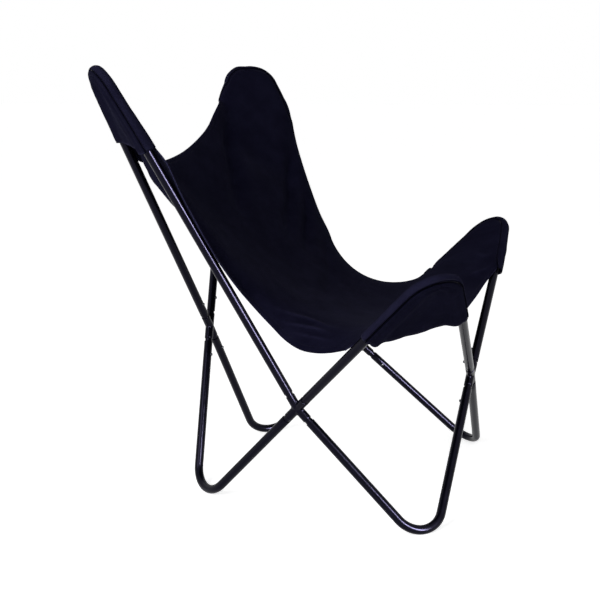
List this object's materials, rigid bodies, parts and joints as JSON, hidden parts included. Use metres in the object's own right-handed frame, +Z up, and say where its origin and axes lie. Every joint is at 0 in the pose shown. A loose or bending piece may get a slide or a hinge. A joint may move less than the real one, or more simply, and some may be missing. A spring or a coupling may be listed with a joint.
{
  "type": "butterfly sling chair",
  "caption": "Knock-down lounge chair: bent tube bows plug onto welded crossings, and a canvas sling hangs in corner pockets.",
  "frame": {"origin": "on the floor, under the middle of the chair's bounding box", "axes": "+Z up; the chair faces -Y; the sitter's left is +X"},
  "size_m": [0.8922, 0.7344, 0.9152],
  "materials": {
    "coated_steel": "satin powder coat",
    "plated_steel": "satin",
    "spring_steel": "satin",
    "canvas": "matte plain weave"
  },
  "bodies": {
    "frame": {"cross_right": "coated_steel", "cross_left": "coated_steel", "cross_front": "coated_steel", "cross_rear": "coated_steel", "upper_bow_rear_right": "coated_steel", "upper_bow_front_right": "coated_steel", "lower_bow_rear_right": "coated_steel", "lower_bow_front_right": "coated_steel", "upper_bow_rear_left": "coated_steel", "upper_bow_front_left": "coated_steel", "lower_bow_rear_left": "coated_steel", "lower_bow_front_left": "coated_steel", "clip_upper_rear_right_side": "spring_steel", "clip_upper_front_right_side": "spring_steel", "clip_lower_rear_right_side": "spring_steel", "clip_lower_front_right_side": "spring_steel", "clip_upper_rear_left_side": "spring_steel", "clip_upper_front_left_side": "spring_steel", "clip_lower_rear_left_side": "spring_steel", "clip_lower_front_left_side": "spring_steel", "clip_upper_front_right_middle": "spring_steel", "clip_lower_front_right_middle": "spring_steel", "clip_upper_front_left_middle": "spring_steel", "clip_lower_front_left_middle": "spring_steel", "clip_upper_rear_right_middle": "spring_steel", "clip_lower_rear_right_middle": "spring_steel", "clip_upper_rear_left_middle": "spring_steel", "clip_lower_rear_left_middle": "spring_steel", "sling_panel": "canvas", "corner_band_rear_right": "canvas", "pocket_flap_rear_right": "canvas", "corner_band_front_right": "canvas", "pocket_flap_front_right": "canvas", "corner_band_rear_left": "canvas", "pocket_flap_rear_left": "canvas", "corner_band_front_left": "canvas", "pocket_flap_front_left": "canvas", "hem_side_right": "canvas", "hem_side_left": "canvas", "hem_rear": "canvas", "hem_front": "canvas"},
    "button_upper_rear_right_side_body": {"button_upper_rear_right_side": "plated_steel"},
    "button_upper_front_right_side_body": {"button_upper_front_right_side": "plated_steel"},
    "button_lower_rear_right_side_body": {"button_lower_rear_right_side": "plated_steel"},
    "button_lower_front_right_side_body": {"button_lower_front_right_side": "plated_steel"},
    "button_upper_rear_left_side_body": {"button_upper_rear_left_side": "plated_steel"},
    "button_upper_front_left_side_body": {"button_upper_front_left_side": "plated_steel"},
    "button_lower_rear_left_side_body": {"button_lower_rear_left_side": "plated_steel"},
    "button_lower_front_left_side_body": {"button_lower_front_left_side": "plated_steel"},
    "button_upper_front_right_middle_body": {"button_upper_front_right_middle": "plated_steel"},
    "button_lower_front_right_middle_body": {"button_lower_front_right_middle": "plated_steel"},
    "button_upper_front_left_middle_body": {"button_upper_front_left_middle": "plated_steel"},
    "button_lower_front_left_middle_body": {"button_lower_front_left_middle": "plated_steel"},
    "button_upper_rear_right_middle_body": {"button_upper_rear_right_middle": "plated_steel"},
    "button_lower_rear_right_middle_body": {"button_lower_rear_right_middle": "plated_steel"},
    "button_upper_rear_left_middle_body": {"button_upper_rear_left_middle": "plated_steel"},
    "button_lower_rear_left_middle_body": {"button_lower_rear_left_middle": "plated_steel"}
  },
  "joints": [
    {"name": "press_upper_rear_right_side", "type": "slide", "parent": "frame", "child": "button_upper_rear_right_side_body", "axis": [-0.9777, -0.0919, -0.189], "range_m": [0, 0.0042], "stiffness_N_per_m": 400, "deforming": ["clip_upper_rear_right_side"]},
    {"name": "press_upper_front_right_side", "type": "slide", "parent": "frame", "child": "button_upper_front_right_side_body", "axis": [-0.9342, 0.2426, -0.2614], "range_m": [0, 0.0042], "stiffness_N_per_m": 400, "deforming": ["clip_upper_front_right_side"]},
    {"name": "press_lower_rear_right_side", "type": "slide", "parent": "frame", "child": "button_lower_rear_right_side_body", "axis": [-0.9901, 0.0951, -0.1033], "range_m": [0, 0.0042], "stiffness_N_per_m": 400, "deforming": ["clip_lower_rear_right_side"]},
    {"name": "press_lower_front_right_side", "type": "slide", "parent": "frame", "child": "button_lower_front_right_side_body", "axis": [-0.9932, 0.0861, 0.0784], "range_m": [0, 0.0042], "stiffness_N_per_m": 400, "deforming": ["clip_lower_front_right_side"]},
    {"name": "press_upper_rear_left_side", "type": "slide", "parent": "frame", "child": "button_upper_rear_left_side_body", "axis": [0.9777, -0.0919, -0.189], "range_m": [0, 0.0042], "stiffness_N_per_m": 400, "deforming": ["clip_upper_rear_left_side"]},
    {"name": "press_upper_front_left_side", "type": "slide", "parent": "frame", "child": "button_upper_front_left_side_body", "axis": [0.9342, 0.2426, -0.2614], "range_m": [0, 0.0042], "stiffness_N_per_m": 400, "deforming": ["clip_upper_front_left_side"]},
    {"name": "press_lower_rear_left_side", "type": "slide", "parent": "frame", "child": "button_lower_rear_left_side_body", "axis": [0.9901, 0.0951, -0.1033], "range_m": [0, 0.0042], "stiffness_N_per_m": 400, "deforming": ["clip_lower_rear_left_side"]},
    {"name": "press_lower_front_left_side", "type": "slide", "parent": "frame", "child": "button_lower_front_left_side_body", "axis": [0.9932, 0.0861, 0.0784], "range_m": [0, 0.0042], "stiffness_N_per_m": 400, "deforming": ["clip_lower_front_left_side"]},
    {"name": "press_upper_front_right_middle", "type": "slide", "parent": "frame", "child": "button_upper_front_right_middle_body", "axis": [0.0383, -0.9989, -0.0284], "range_m": [0, 0.0042], "stiffness_N_per_m": 400, "deforming": ["clip_upper_front_right_middle"]},
    {"name": "press_lower_front_right_middle", "type": "slide", "parent": "frame", "child": "button_lower_front_right_middle_body", "axis": [-0.0364, -0.9988, -0.0329], "range_m": [0, 0.0042], "stiffness_N_per_m": 400, "deforming": ["clip_lower_front_right_middle"]},
    {"name": "press_upper_front_left_middle", "type": "slide", "parent": "frame", "child": "button_upper_front_left_middle_body", "axis": [-0.0383, -0.9989, -0.0284], "range_m": [0, 0.0042], "stiffness_N_per_m": 400, "deforming": ["clip_upper_front_left_middle"]},
    {"name": "press_lower_front_left_middle", "type": "slide", "parent": "frame", "child": "button_lower_front_left_middle_body", "axis": [0.0364, -0.9988, -0.0329], "range_m": [0, 0.0042], "stiffness_N_per_m": 400, "deforming": ["clip_lower_front_left_middle"]},
    {"name": "press_upper_rear_right_middle", "type": "slide", "parent": "frame", "child": "button_upper_rear_right_middle_body", "axis": [0.0621, 0.9933, -0.0971], "range_m": [0, 0.0042], "stiffness_N_per_m": 400, "deforming": ["clip_upper_rear_right_middle"]},
    {"name": "press_lower_rear_right_middle", "type": "slide", "parent": "frame", "child": "button_lower_rear_right_middle_body", "axis": [-0.055, 0.9942, -0.0922], "range_m": [0, 0.0042], "stiffness_N_per_m": 400, "deforming": ["clip_lower_rear_right_middle"]},
    {"name": "press_upper_rear_left_middle", "type": "slide", "parent": "frame", "child": "button_upper_rear_left_middle_body", "axis": [-0.0621, 0.9933, -0.0971], "range_m": [0, 0.0042], "stiffness_N_per_m": 400, "deforming": ["clip_upper_rear_left_middle"]},
    {"name": "press_lower_rear_left_middle", "type": "slide", "parent": "frame", "child": "button_lower_rear_left_middle_body", "axis": [0.055, 0.9942, -0.0922], "range_m": [0, 0.0042], "stiffness_N_per_m": 400, "deforming": ["clip_lower_rear_left_middle"]}
  ]
}
